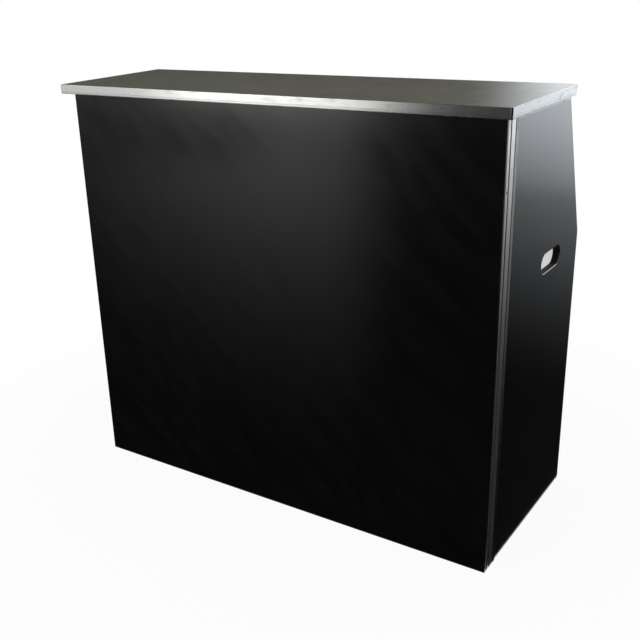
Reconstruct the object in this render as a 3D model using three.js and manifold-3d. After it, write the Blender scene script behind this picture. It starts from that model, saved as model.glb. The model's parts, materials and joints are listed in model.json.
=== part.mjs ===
// Folding portable bar, in millimetres with +Z up and the customers' side facing -Y.
// The front panel carries everything: two side panels that fold in behind it on continuous hinges,
// a work shelf that swings up against its back, and a counter that drops on from above over two dowels.
// It is drawn set up, with the side panels open, the shelf raised and the counter on.
import * as THREE from "three";
import { mergeVertices } from "three/addons/utils/BufferGeometryUtils.js";
import Module from "manifold-3d";

const wasm = await Module();
wasm.setup();

// Overall sizes
const TOTAL_HEIGHT = 1067;
const COUNTER_LENGTH = 1220;
const COUNTER_DEPTH = 380;
const COUNTER_THICKNESS = 23;
const OVERHANG_FRONT = 30;
const OVERHANG_END = 20;
const BOARD = 18;
const SEAT_GAP = 0.3; // left between pieces that touch

// Side panel, with depths measured back from the front panel's face
const SIDE_DEPTH_TOP = 372;
const SIDE_DEPTH_FOOT = 505;
const KINK_HEIGHT = 695;
const HAND_HOLE = { depth: 318, height: 673, length: 122, width: 46 };
const ARC_STEPS = 6;

// Edge trim: aluminium channel with two legs, angle with one, flush strip, and edge band
const CHANNEL_WALL = 1.2;
const CHANNEL_LEG = 12.7;
const MITRE_GAP = 0.25;
const STRIP = 2.7;
const FACE_LAYER = 7.7; // the front panel's thickness in front of its edge strips
const EDGE_BAND = 2;
const BAND_JOINT = 0.5;

// Hinge stile behind each end of the front panel
const GROOVE = { width: 6, depth: 12 };
const STILE_FACE = 20;
const STILE_WALL = 2.5;
const HINGE_GAP = 3.5;

// Hinges
const BARREL_RADIUS = 4;
const BORE_RADIUS = 2.6;
const PIN_RADIUS = 2.1;
const LEAF_THICKNESS = 1.5;
const LEAF_CLEARANCE = 0.7;
const LEAF_TAB = 1;
const KNUCKLE_GAP = 0.5;
const BARREL_STEPS = 5;
const ROUND_SIDES = 10;
const SIDE_HINGE = { inset: 6, knuckles: 27 };
const SHELF_HINGE = { length: 70, reach: 30, knuckles: 5, spread: 450 };

// Work shelf, raised against the front panel's back
const SHELF = { board: 15, depth: 392, length: 1114, standOff: 5.4, axisHeight: 560, edgeLift: 8 };
const LEDGE = { from: 250, to: 430, reach: 25, drop: 20, wall: 2.5 };
const HINGE_BLOCK = { width: 84, above: 4, below: 31, chamfer: 10 };
const BUFFER = { spread: 380, drop: 60, baseRadius: 7, tipRadius: 5.5 };

// Turn buttons that hold the shelf up
const CATCH = { spread: 60, rise: 21, width: 18, length: 53, thickness: 5, offset: 0.9 };
const CATCH_BLOCK = { width: 24, height: 30, boreRadius: 3.2 };
const CATCH_SCREW = { radius: 2.8, grip: 17, headRadius: 6, headHeight: 2.5 };
const CATCH_RIDGE = { width: 4, height: 4, inset: 5 };

// Dowels that locate the counter
const DOWEL = { spread: 480, radius: 4, length: 34, standing: 14, taper: 2, clearance: 0.6 };
const HOLE_SIDES = 14;

// Worked out from the sizes above
const RIM = CHANNEL_WALL + SEAT_GAP;
const HALF_WIDTH = COUNTER_LENGTH / 2 - OVERHANG_END;
const COUNTER_UNDERSIDE = TOTAL_HEIGHT - COUNTER_THICKNESS;
const COUNTER_FRONT = -OVERHANG_FRONT;
const COUNTER_BACK = COUNTER_DEPTH - OVERHANG_FRONT;
const FRONT_TOP = COUNTER_UNDERSIDE + RIM - SEAT_GAP;
const FACE_TOP = FRONT_TOP - STRIP - SEAT_GAP;
const STRIP_FRONT = FACE_LAYER + SEAT_GAP;
const SIDE_TOP = COUNTER_UNDERSIDE - SEAT_GAP;
const CHANNEL_WIDTH = BOARD + 2 * RIM;
const INNER_FACE = HALF_WIDTH - CHANNEL_WIDTH;
const SIDE_BOARD_INNER = INNER_FACE + RIM;
const STILE_BACK = BOARD + GROOVE.width + STILE_FACE;
const SIDE_FRONT = STILE_BACK + HINGE_GAP;
const SIDE_AXIS = { x: INNER_FACE - SEAT_GAP - BARREL_RADIUS, y: STILE_BACK + HINGE_GAP / 2 };
const SHELF_FRONT = BOARD + SHELF.standOff;
const SHELF_BACK = SHELF_FRONT + SHELF.board;
const SHELF_AXIS = { y: SHELF_BACK + SEAT_GAP + BARREL_RADIUS, z: SHELF.axisHeight };
const SHELF_LOW = SHELF_AXIS.z + SHELF.edgeLift;
const SHELF_HIGH = SHELF_LOW + SHELF.depth;
const LEDGE_TOP = SHELF_AXIS.z + SHELF_AXIS.y - SHELF_BACK - SEAT_GAP;
const BODY_CENTRE = (SIDE_DEPTH_FOOT - OVERHANG_FRONT) / 2;

const X = new THREE.Vector3(1, 0, 0);
const Y = new THREE.Vector3(0, 1, 0);
const Z = new THREE.Vector3(0, 0, 1);
const reverse = (axis) => axis.clone().negate();

const FINISHES = {
  laminate: { color: 0x141514, roughness: 0.38, metalness: 0 },
  counterLaminate: { color: 0x57554d, roughness: 0.42, metalness: 0 },
  aluminium: { color: 0xcdcdc8, roughness: 0.34, metalness: 1 },
  steel: { color: 0xb4b6b8, roughness: 0.3, metalness: 1 },
  edgeBand: { color: 0x101010, roughness: 0.5, metalness: 0 },
  nylon: { color: 0x181818, roughness: 0.55, metalness: 0 },
  rubber: { color: 0x141414, roughness: 0.85, metalness: 0 },
};

function piece(name, finish, geometry) {
  const mesh = new THREE.Mesh(geometry, new THREE.MeshStandardMaterial(FINISHES[finish]));
  mesh.name = name;
  return mesh;
}

// A rectangular piece that spans three [low, high] ranges.
function block(name, finish, x, y, z) {
  const mesh = piece(name, finish, new THREE.BoxGeometry(x[1] - x[0], y[1] - y[0], z[1] - z[0]));
  mesh.position.set((x[0] + x[1]) / 2, (y[0] + y[1]) / 2, (z[0] + z[1]) / 2);
  return mesh;
}

// Puts a mesh's own origin at a point and turns its x and y onto two square directions.
function place(mesh, [x, y, z], xAxis, yAxis) {
  const zAxis = new THREE.Vector3().crossVectors(xAxis, yAxis);
  mesh.applyMatrix4(new THREE.Matrix4().makeBasis(xAxis, yAxis, zAxis).setPosition(x, y, z));
  return mesh;
}

function shapeOf(points) {
  return new THREE.Shape(points.map((p) => (p.isVector2 ? p : new THREE.Vector2(...p))));
}

function prism(shape, depth, curveSegments = ARC_STEPS) {
  return new THREE.ExtrudeGeometry(shape, { depth, bevelEnabled: false, curveSegments });
}

function toSolid(geometry) {
  const bare = new THREE.BufferGeometry();
  bare.setAttribute("position", geometry.getAttribute("position"));
  bare.setIndex(geometry.index);
  const merged = mergeVertices(bare);
  return new wasm.Manifold(
    new wasm.Mesh({
      numProp: 3,
      vertProperties: merged.getAttribute("position").array,
      triVerts: new Uint32Array(merged.index.array),
    }),
  );
}

function toGeometry(solid) {
  const { vertProperties, triVerts } = solid.getMesh();
  const geometry = new THREE.BufferGeometry();
  geometry.setAttribute("position", new THREE.BufferAttribute(vertProperties, 3));
  geometry.setIndex(new THREE.BufferAttribute(triVerts, 1));
  geometry.computeVertexNormals();
  return geometry;
}

// Drills an upright hole into a block at each of two mirrored places.
function drillPair(mesh, { spread, depth, radius, from, to }) {
  let solid = toSolid(mesh.geometry);
  for (const x of [-spread, spread]) {
    const bit = new THREE.CylinderGeometry(radius, radius, to - from, HOLE_SIDES);
    bit.rotateX(Math.PI / 2);
    bit.translate(x, depth, (from + to) / 2);
    bit.translate(-mesh.position.x, -mesh.position.y, -mesh.position.z);
    solid = solid.subtract(toSolid(bit));
  }
  mesh.geometry = toGeometry(solid);
  return mesh;
}

// Trim sections: x runs across, y in from the outer face. A channel's legs lie on both faces of a board.
function channelSection(width) {
  const outer = width / 2;
  const inner = outer - CHANNEL_WALL;
  return shapeOf([
    [-outer, 0],
    [outer, 0],
    [outer, CHANNEL_LEG],
    [inner, CHANNEL_LEG],
    [inner, CHANNEL_WALL],
    [-inner, CHANNEL_WALL],
    [-inner, CHANNEL_LEG],
    [-outer, CHANNEL_LEG],
  ]);
}

// An angle covers the edge of a board and has a leg on one face.
function angleSection(width) {
  const outer = width / 2;
  const inner = outer - CHANNEL_WALL;
  return shapeOf([
    [-outer, 0],
    [outer, 0],
    [outer, CHANNEL_LEG],
    [inner, CHANNEL_LEG],
    [inner, CHANNEL_WALL],
    [-outer, CHANNEL_WALL],
  ]);
}

// A length of trim, with z along it. Each end is slanted by its slope, in millimetres along for
// every millimetre in.
function trimGeometry(section, length, startSlope, endSlope) {
  const geometry = prism(section, length);
  const position = geometry.getAttribute("position");
  for (let i = 0; i < position.count; i++) {
    const slope = position.getZ(i) > length / 2 ? endSlope : startSlope;
    position.setZ(i, position.getZ(i) + slope * position.getY(i));
  }
  return geometry;
}

// Lays trim along an edge, with its legs pointing inward.
function layTrim(name, section, start, inward, along, length, startSlope, endSlope) {
  const mesh = piece(name, "aluminium", trimGeometry(section, length, startSlope, endSlope));
  return place(mesh, start, new THREE.Vector3().crossVectors(inward, along), inward);
}

// Moves each edge of a convex outline inwards by its own distance; edge i leaves point i.
function insetOutline(points, distances) {
  const edges = points.map((point, i) => {
    const along = points[(i + 1) % points.length].clone().sub(point).normalize();
    const inward = new THREE.Vector2(-along.y, along.x);
    return { from: point.clone().addScaledVector(inward, distances[i]), along };
  });
  return edges.map((edge, i) => {
    const before = edges.at(i - 1);
    const run = edge.from.clone().sub(before.from).cross(edge.along) / before.along.cross(edge.along);
    return before.from.clone().addScaledVector(before.along, run);
  });
}

// One leaf of a hinge, drawn about its pin: x runs out along the leaf, y towards the face that is
// screwed down, z along the pin. The leaf is curled into every second knuckle, from number first on.
function leafGeometry(length, reach, knuckles, first) {
  const near = BARREL_RADIUS + LEAF_CLEARANCE;
  const inside = BARREL_RADIUS - LEAF_THICKNESS;
  const plate = new THREE.BoxGeometry(reach - near, LEAF_THICKNESS, length);
  plate.translate((reach + near) / 2, BARREL_RADIUS - LEAF_THICKNESS / 2, length / 2);

  const curl = new THREE.Shape();
  curl.moveTo(near + LEAF_TAB, BARREL_RADIUS);
  curl.absarc(0, 0, BARREL_RADIUS, Math.PI / 2, 2 * Math.PI + Math.asin(inside / BARREL_RADIUS), false);
  curl.lineTo(near + LEAF_TAB, inside);
  curl.closePath();
  const bore = new THREE.Path();
  bore.absarc(0, 0, BORE_RADIUS, 0, 2 * Math.PI, true);
  curl.holes.push(bore);

  const pitch = length / knuckles;
  let leaf = toSolid(plate);
  for (let n = first; n < knuckles; n += 2) {
    const knuckle = prism(curl, pitch - KNUCKLE_GAP, BARREL_STEPS);
    knuckle.translate(0, 0, n * pitch + KNUCKLE_GAP / 2);
    leaf = leaf.add(toSolid(knuckle));
  }
  return toGeometry(leaf);
}

function pinGeometry(length) {
  return new THREE.CylinderGeometry(PIN_RADIUS, PIN_RADIUS, length, ROUND_SIDES);
}

function frontPanel() {
  const core = HALF_WIDTH - STRIP - SEAT_GAP;
  const foot = STRIP + SEAT_GAP;
  const hole = { spread: DOWEL.spread, depth: BOARD / 2, radius: DOWEL.radius + DOWEL.clearance };
  const sunk = FRONT_TOP + DOWEL.standing - DOWEL.length - SEAT_GAP;

  // The face layer reaches past the core, over the front edges of the end strips and the bottom strip.
  const width = [-HALF_WIDTH, HALF_WIDTH];
  const panel = block("front_panel", "laminate", width, [0, FACE_LAYER], [0, FACE_TOP]);
  const behind = new THREE.BoxGeometry(2 * core, BOARD, FACE_TOP - foot);
  behind.translate(0, (BOARD - FACE_LAYER) / 2, foot / 2);
  panel.geometry = toGeometry(toSolid(panel.geometry).add(toSolid(behind)));
  drillPair(panel, { ...hole, from: sunk, to: FRONT_TOP });
  const topStrip = block("front_top_strip", "aluminium", width, [0, BOARD], [FRONT_TOP - STRIP, FRONT_TOP]);
  drillPair(topStrip, { ...hole, from: sunk, to: FRONT_TOP + BOARD });
  const bottomStrip = block(
    "front_bottom_strip", "aluminium", [-core, core], [STRIP_FRONT, BOARD], [0, STRIP],
  );
  return [panel, topStrip, bottomStrip];
}

// What stands at one end of the front panel: end strip, hinge stile, fixed hinge leaf, pin and dowel.
function frontCorner(hand) {
  const endStrip = block(
    `front_${hand}_strip`, "aluminium", [HALF_WIDTH - STRIP, HALF_WIDTH],
    [STRIP_FRONT, BOARD], [0, FACE_TOP],
  );

  // The section is set in at its outer front corner, which leaves a shadow groove beside the panel.
  const stileSection = (wall) => [
    [INNER_FACE + wall, BOARD + SEAT_GAP + wall],
    [HALF_WIDTH - GROOVE.depth - wall, BOARD + SEAT_GAP + wall],
    [HALF_WIDTH - GROOVE.depth - wall, BOARD + GROOVE.width + wall],
    [HALF_WIDTH - wall, BOARD + GROOVE.width + wall],
    [HALF_WIDTH - wall, STILE_BACK - wall],
    [INNER_FACE + wall, STILE_BACK - wall],
  ];
  const outline = shapeOf(stileSection(0));
  outline.holes.push(shapeOf(stileSection(STILE_WALL)));
  const stile = piece(`${hand}_hinge_stile`, "aluminium", prism(outline, FRONT_TOP));

  const length = SIDE_TOP - 2 * SIDE_HINGE.inset;
  const reach = SIDE_FRONT + CHANNEL_LEG - SIDE_AXIS.y;
  const leaf = piece(
    `${hand}_side_hinge_fixed_leaf`, "steel", leafGeometry(length, reach, SIDE_HINGE.knuckles, 0),
  );
  place(leaf, [SIDE_AXIS.x, SIDE_AXIS.y, SIDE_HINGE.inset], reverse(Y), X);
  const pin = piece(`${hand}_side_hinge_pin`, "steel", pinGeometry(length));
  pin.rotation.x = Math.PI / 2;
  pin.position.set(SIDE_AXIS.x, SIDE_AXIS.y, SIDE_TOP / 2);

  const profile = [
    [0, 0],
    [DOWEL.radius, 0],
    [DOWEL.radius, DOWEL.length - DOWEL.taper],
    [DOWEL.radius - DOWEL.taper, DOWEL.length],
    [0, DOWEL.length],
  ].map((p) => new THREE.Vector2(...p));
  const dowel = piece(`${hand}_dowel`, "steel", new THREE.LatheGeometry(profile, HOLE_SIDES));
  dowel.rotation.x = Math.PI / 2;
  dowel.position.set(DOWEL.spread, BOARD / 2, FRONT_TOP + DOWEL.standing - DOWEL.length);
  return [endStrip, stile, leaf, pin, dowel];
}

function sidePanel(hand) {
  // Corners in depth and height: front foot, rear foot, kink, rear top, front top.
  const outline = shapeOf([
    [SIDE_FRONT, 0],
    [SIDE_DEPTH_FOOT, 0],
    [SIDE_DEPTH_FOOT, KINK_HEIGHT],
    [SIDE_DEPTH_TOP, SIDE_TOP],
    [SIDE_FRONT, SIDE_TOP],
  ]).getPoints();
  const foot = STRIP + SEAT_GAP;
  const bandSeat = EDGE_BAND + SEAT_GAP;

  const board = shapeOf(insetOutline(outline, [foot, bandSeat, bandSeat, RIM, RIM]));
  const hole = new THREE.Path();
  const reach = (HAND_HOLE.length - HAND_HOLE.width) / 2;
  const round = HAND_HOLE.width / 2;
  hole.absarc(HAND_HOLE.depth + reach, HAND_HOLE.height, round, -Math.PI / 2, Math.PI / 2, false);
  hole.absarc(HAND_HOLE.depth - reach, HAND_HOLE.height, round, Math.PI / 2, 1.5 * Math.PI, false);
  board.holes.push(hole);
  const onEdge = (name, finish, shape) =>
    place(piece(name, finish, prism(shape, BOARD)), [SIDE_BOARD_INNER, 0, 0], Y, Z);
  const panel = onEdge(`${hand}_side_panel`, "laminate", board);

  const bandOuter = insetOutline(outline, [foot, 0, 0, 0, 0]);
  const bandInner = insetOutline(outline, [foot, EDGE_BAND, EDGE_BAND, 0, 0]);
  const joint = new THREE.Vector2(0, -BAND_JOINT);
  const rearBand = onEdge(`${hand}_side_rear_band`, "edgeBand", shapeOf([
    bandOuter[1],
    bandOuter[2].clone().add(joint),
    bandInner[2].clone().add(joint),
    bandInner[1],
  ]));
  const slopeBand = onEdge(`${hand}_side_slope_band`, "edgeBand", shapeOf([
    bandOuter[2],
    bandOuter[3],
    bandInner[3],
    bandInner[2],
  ]));

  const middle = HALF_WIDTH - CHANNEL_WIDTH / 2;
  const section = channelSection(CHANNEL_WIDTH);
  const frontChannel = layTrim(
    `${hand}_side_front_channel`, section, [middle, SIDE_FRONT, 0], Y, Z, SIDE_TOP - MITRE_GAP, 0, -1,
  );
  const slope = (SIDE_DEPTH_FOOT - SIDE_DEPTH_TOP) / (SIDE_TOP - KINK_HEIGHT);
  const topLength = SIDE_DEPTH_TOP - bandSeat * Math.hypot(1, slope) - SIDE_FRONT - MITRE_GAP;
  const topChannel = layTrim(
    `${hand}_side_top_channel`, section, [middle, SIDE_FRONT + MITRE_GAP, SIDE_TOP], reverse(Z), Y,
    topLength, 1, slope,
  );
  const bottomStrip = block(
    `${hand}_side_bottom_strip`, "aluminium", [SIDE_BOARD_INNER, SIDE_BOARD_INNER + BOARD],
    [SIDE_FRONT + RIM, SIDE_DEPTH_FOOT], [0, STRIP],
  );

  const length = SIDE_TOP - 2 * SIDE_HINGE.inset;
  const leaf = piece(
    `${hand}_side_hinge_moving_leaf`, "steel",
    leafGeometry(length, SIDE_FRONT + CHANNEL_LEG - SIDE_AXIS.y, SIDE_HINGE.knuckles, 1),
  );
  place(leaf, [SIDE_AXIS.x, SIDE_AXIS.y, SIDE_HINGE.inset + length], Y, X);

  const wallFace = SIDE_BOARD_INNER - SEAT_GAP;
  const angle = shapeOf([
    [wallFace - LEDGE.reach, LEDGE_TOP],
    [wallFace - LEDGE.reach, LEDGE_TOP - LEDGE.wall],
    [wallFace - LEDGE.wall, LEDGE_TOP - LEDGE.wall],
    [wallFace - LEDGE.wall, LEDGE_TOP - LEDGE.drop],
    [wallFace, LEDGE_TOP - LEDGE.drop],
    [wallFace, LEDGE_TOP],
  ]);
  const ledge = piece(`${hand}_shelf_ledge`, "aluminium", prism(angle, LEDGE.to - LEDGE.from));
  place(ledge, [0, LEDGE.to, 0], X, Z);
  return [panel, frontChannel, topChannel, slopeBand, rearBand, bottomStrip, leaf, ledge];
}

function shelfBoard() {
  const half = SHELF.length / 2;
  const board = half - EDGE_BAND - SEAT_GAP;
  const thick = [SHELF_FRONT, SHELF_BACK];
  const boardHigh = SHELF_HIGH - STRIP - SEAT_GAP;
  return [
    block("shelf_board", "laminate", [-board, board], thick, [SHELF_LOW, boardHigh]),
    block("shelf_rear_strip", "aluminium", [-half, half], thick, [SHELF_HIGH - STRIP, SHELF_HIGH]),
    block("shelf_left_band", "edgeBand", [-half, EDGE_BAND - half], thick, [SHELF_LOW, boardHigh]),
    block("shelf_right_band", "edgeBand", [half - EDGE_BAND, half], thick, [SHELF_LOW, boardHigh]),
  ];
}

// One butt hinge of the shelf, on a block that brings its fixed leaf out to the shelf's back face.
function shelfHinge(spot, x) {
  const { length, reach, knuckles } = SHELF_HINGE;
  const wall = BOARD + SEAT_GAP;
  const low = SHELF_AXIS.z - HINGE_BLOCK.below;
  const section = shapeOf([
    [wall, SHELF_AXIS.z + HINGE_BLOCK.above],
    [wall, low - HINGE_BLOCK.chamfer],
    [SHELF_BACK - HINGE_BLOCK.chamfer, low - HINGE_BLOCK.chamfer],
    [SHELF_BACK, low],
    [SHELF_BACK, SHELF_AXIS.z + HINGE_BLOCK.above],
  ]);
  const base = piece(`shelf_hinge_block_${spot}`, "nylon", prism(section, HINGE_BLOCK.width));
  place(base, [x - HINGE_BLOCK.width / 2, 0, 0], Y, Z);

  const fixedLeaf = piece(
    `shelf_hinge_fixed_leaf_${spot}`, "steel", leafGeometry(length, reach, knuckles, 0),
  );
  place(fixedLeaf, [x + length / 2, SHELF_AXIS.y, SHELF_AXIS.z], reverse(Z), reverse(Y));
  const movingLeaf = piece(
    `shelf_hinge_moving_leaf_${spot}`, "steel", leafGeometry(length, reach, knuckles, 1),
  );
  place(movingLeaf, [x - length / 2, SHELF_AXIS.y, SHELF_AXIS.z], Z, reverse(Y));
  const pin = piece(`shelf_hinge_pin_${spot}`, "steel", pinGeometry(length));
  pin.rotation.z = Math.PI / 2;
  pin.position.set(x, SHELF_AXIS.y, SHELF_AXIS.z);
  return [base, fixedLeaf, movingLeaf, pin];
}

// A rubber buffer that the raised shelf leans on, and a turn button on its block above the shelf.
function shelfKeep(hand) {
  const wall = BOARD + SEAT_GAP;
  const stand = SHELF.standOff - 2 * SEAT_GAP;
  const buffer = piece(
    `${hand}_shelf_buffer`, "rubber",
    new THREE.CylinderGeometry(BUFFER.tipRadius, BUFFER.baseRadius, stand, HOLE_SIDES),
  );
  buffer.position.set(BUFFER.spread, wall + stand / 2, SHELF_HIGH - BUFFER.drop);

  const pivotHeight = SHELF_HIGH + CATCH.rise;
  const buttonFront = SHELF_BACK + CATCH.offset;
  const buttonBack = buttonFront + CATCH.thickness;
  const pivotHole = () => {
    const path = new THREE.Path();
    path.absarc(0, 0, CATCH_BLOCK.boreRadius, 0, 2 * Math.PI, true);
    return path;
  };

  const [halfHeight, halfWidth] = [CATCH_BLOCK.height / 2, CATCH_BLOCK.width / 2];
  const face = shapeOf([
    [-halfHeight, -halfWidth],
    [halfHeight, -halfWidth],
    [halfHeight, halfWidth],
    [-halfHeight, halfWidth],
  ]);
  face.holes.push(pivotHole());
  const base = piece(`${hand}_catch_block`, "nylon", prism(face, buttonFront - SEAT_GAP - wall));
  place(base, [CATCH.spread, wall, pivotHeight], Z, X);

  // The button points outwards when released; its ridge gives the thumb a hold.
  const round = CATCH.width / 2;
  const tip = CATCH.length - CATCH.width;
  const bar = new THREE.Shape();
  bar.absarc(0, 0, round, Math.PI, 2 * Math.PI, false);
  bar.absarc(0, tip, round, 0, Math.PI, false);
  bar.closePath();
  bar.holes.push(pivotHole());
  const ridgeLength = CATCH.width - 2 * CATCH_RIDGE.inset;
  const ridge = new THREE.BoxGeometry(ridgeLength, CATCH_RIDGE.width, CATCH_RIDGE.height);
  ridge.translate(0, tip, CATCH.thickness + CATCH_RIDGE.height / 2 - SEAT_GAP);
  const button = piece(
    `${hand}_turn_button`, "steel", toGeometry(toSolid(prism(bar, CATCH.thickness)).add(toSolid(ridge))),
  );
  place(button, [CATCH.spread, buttonFront, pivotHeight], Z, X);

  const seat = buttonBack + SEAT_GAP;
  const profile = [
    [0, seat - CATCH_SCREW.grip],
    [CATCH_SCREW.radius, seat - CATCH_SCREW.grip],
    [CATCH_SCREW.radius, seat],
    [CATCH_SCREW.headRadius, seat],
    [CATCH_SCREW.headRadius, seat + CATCH_SCREW.headHeight / 2],
    [CATCH_SCREW.headRadius / 2, seat + CATCH_SCREW.headHeight],
    [0, seat + CATCH_SCREW.headHeight],
  ].map((p) => new THREE.Vector2(...p));
  const screw = piece(`${hand}_catch_screw`, "steel", new THREE.LatheGeometry(profile, HOLE_SIDES));
  screw.position.set(CATCH.spread, 0, pivotHeight);
  return [buffer, base, button, screw];
}

function counter() {
  const half = COUNTER_LENGTH / 2;
  const low = COUNTER_UNDERSIDE + RIM;
  const board = block(
    "counter_board", "counterLaminate", [RIM - half, half - RIM],
    [COUNTER_FRONT + RIM, COUNTER_BACK - RIM], [low, TOTAL_HEIGHT],
  );
  drillPair(board, {
    spread: DOWEL.spread,
    depth: BOARD / 2,
    radius: DOWEL.radius + DOWEL.clearance,
    from: low - BOARD,
    to: FRONT_TOP + DOWEL.standing + SEAT_GAP,
  });

  // The four angles run round the counter end to end, mitred at every corner.
  const middle = TOTAL_HEIGHT - COUNTER_THICKNESS / 2;
  const runs = [
    { edge: "front", start: [-half, COUNTER_FRONT], along: X, length: COUNTER_LENGTH },
    { edge: "right", start: [half, COUNTER_FRONT], along: Y, length: COUNTER_DEPTH },
    { edge: "back", start: [half, COUNTER_BACK], along: reverse(X), length: COUNTER_LENGTH },
    { edge: "left", start: [-half, COUNTER_BACK], along: reverse(Y), length: COUNTER_DEPTH },
  ];
  const section = angleSection(COUNTER_THICKNESS);
  const angles = runs.map(({ edge, start, along, length }) => {
    const inward = new THREE.Vector3().crossVectors(Z, along);
    const origin = new THREE.Vector3(...start, middle).addScaledVector(along, MITRE_GAP);
    return layTrim(
      `counter_${edge}_angle`, section, origin.toArray(), inward, along, length - 2 * MITRE_GAP, 1, -1,
    );
  });
  return [board, ...angles];
}

// The origin is on the floor, in the middle of the bar's length and depth.
const bar = new THREE.Group();
bar.position.y = -BODY_CENTRE;
bar.add(...frontPanel(), ...shelfBoard(), ...counter());
bar.add(...shelfHinge("left", -SHELF_HINGE.spread));
bar.add(...shelfHinge("middle", 0));
bar.add(...shelfHinge("right", SHELF_HINGE.spread));

// Both ends are drawn at +X; the left one is mirrored.
for (const hand of ["left", "right"]) {
  const end = new THREE.Group();
  end.scale.x = hand === "left" ? -1 : 1;
  end.add(...frontCorner(hand), ...sidePanel(hand), ...shelfKeep(hand));
  bar.add(end);
}

const portableBar = new THREE.Group();
portableBar.add(bar);

export default portableBar;
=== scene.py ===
# Folding portable bar: eased edges, rolled hinges, screws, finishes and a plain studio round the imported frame.
# Metres, +Z up, the customers' side faces -Y. Sizes in the dictionaries are in millimetres.
import json
import bpy
import numpy as np
from mathutils import Matrix, Vector

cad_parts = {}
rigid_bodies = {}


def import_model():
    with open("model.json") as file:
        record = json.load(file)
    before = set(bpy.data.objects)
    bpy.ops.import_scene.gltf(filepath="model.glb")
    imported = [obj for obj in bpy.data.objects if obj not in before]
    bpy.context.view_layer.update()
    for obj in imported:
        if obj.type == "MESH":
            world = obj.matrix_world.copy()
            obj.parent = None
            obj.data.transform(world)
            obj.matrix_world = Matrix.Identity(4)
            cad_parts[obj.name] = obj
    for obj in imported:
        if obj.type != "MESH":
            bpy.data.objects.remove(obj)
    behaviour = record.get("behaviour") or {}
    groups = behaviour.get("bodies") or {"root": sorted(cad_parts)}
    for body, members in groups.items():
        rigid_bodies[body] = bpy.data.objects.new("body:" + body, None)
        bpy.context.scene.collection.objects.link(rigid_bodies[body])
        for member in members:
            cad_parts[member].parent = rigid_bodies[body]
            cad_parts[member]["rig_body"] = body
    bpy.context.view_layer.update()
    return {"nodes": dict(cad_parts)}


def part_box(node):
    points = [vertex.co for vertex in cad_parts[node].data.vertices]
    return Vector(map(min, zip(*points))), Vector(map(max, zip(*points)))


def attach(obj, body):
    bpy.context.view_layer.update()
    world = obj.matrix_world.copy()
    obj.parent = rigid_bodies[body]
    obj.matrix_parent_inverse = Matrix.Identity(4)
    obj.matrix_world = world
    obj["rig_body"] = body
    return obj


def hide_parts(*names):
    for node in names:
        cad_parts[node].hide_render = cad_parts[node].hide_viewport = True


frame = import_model()
nodes = frame["nodes"]
scene = bpy.context.scene
mm = 0.001
axisX, axisY, axisZ = np.eye(3)
print("frame loaded:", len(nodes), "nodes")

# degrees: to the right of the front, down from level, and tilt
cameraView = {
    "place": (1.2478, -1.9440, 1.3244),
    "azimuth": 35.46, "tip": 21.11, "tilt": -2.25,
    "lens": 51.62, "shift": (0.0649, 0.0057),
}


def makeCamera(view):
    azimuth, tip, tilt = np.radians([view["azimuth"], view["tip"], view["tilt"]])
    ahead = np.array([-np.sin(azimuth) * np.cos(tip), np.cos(azimuth) * np.cos(tip), -np.sin(tip)])
    level = np.cross(ahead, axisZ)
    level /= np.linalg.norm(level)
    right = level * np.cos(tilt) + np.cross(level, ahead) * np.sin(tilt)
    lens = bpy.data.cameras.new("camera")
    lens.sensor_width, lens.lens = 36, view["lens"]
    lens.shift_x, lens.shift_y = view["shift"]
    lens.clip_start, lens.clip_end = 0.05, 500
    camera = bpy.data.objects.new("camera", lens)
    scene.collection.objects.link(camera)
    turned = Matrix(np.column_stack([right, np.cross(right, ahead), -ahead]).tolist()).to_4x4()
    turned.translation = Vector(view["place"])
    camera.matrix_world = turned
    scene.camera = camera


makeCamera(cameraView)
print("camera placed")


# node helpers: a value is either another node's socket or a plain number or colour
def feed(tree, value, socket):
    if isinstance(value, bpy.types.NodeSocket):
        tree.links.new(value, socket)
    else:
        socket.default_value = value


def maths(tree, operation, first, second=0.0, clamp=False):
    node = tree.nodes.new("ShaderNodeMath")
    node.operation, node.use_clamp = operation, clamp
    feed(tree, first, node.inputs[0])
    feed(tree, second, node.inputs[1])
    return node.outputs[0]


def spread(tree, value, fromLow, fromHigh, toLow, toHigh, smooth=False):
    node = tree.nodes.new("ShaderNodeMapRange")
    node.interpolation_type = "SMOOTHSTEP" if smooth else "LINEAR"
    for socket, given in zip(node.inputs, (value, fromLow, fromHigh, toLow, toHigh)):
        feed(tree, given, socket)
    return node.outputs[0]


def blendColour(tree, factor, first, second):
    node = tree.nodes.new("ShaderNodeMix")
    node.data_type = "RGBA"
    feed(tree, factor, node.inputs[0])
    feed(tree, first, node.inputs[6])
    feed(tree, second, node.inputs[7])
    return node.outputs[2]


def stretched(tree, vector, factors, turn=(0, 0, 0)):
    # turned first and then multiplied, so that a stretch runs along the turned axes
    node = tree.nodes.new("ShaderNodeMapping")
    node.vector_type = "TEXTURE"
    feed(tree, vector, node.inputs["Vector"])
    node.inputs["Rotation"].default_value = turn
    node.inputs["Scale"].default_value = [1 / factor for factor in factors]
    return node.outputs[0]


def noise(tree, vector, scale, detail=2.0, roughness=0.5, distortion=0.0):
    node = tree.nodes.new("ShaderNodeTexNoise")
    feed(tree, vector, node.inputs["Vector"])
    feed(tree, scale, node.inputs["Scale"])
    node.inputs["Detail"].default_value = detail
    node.inputs["Roughness"].default_value = roughness
    node.inputs["Distortion"].default_value = distortion
    return node.outputs[0]


def rgba(colour):
    return (*colour, 1.0)


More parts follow.
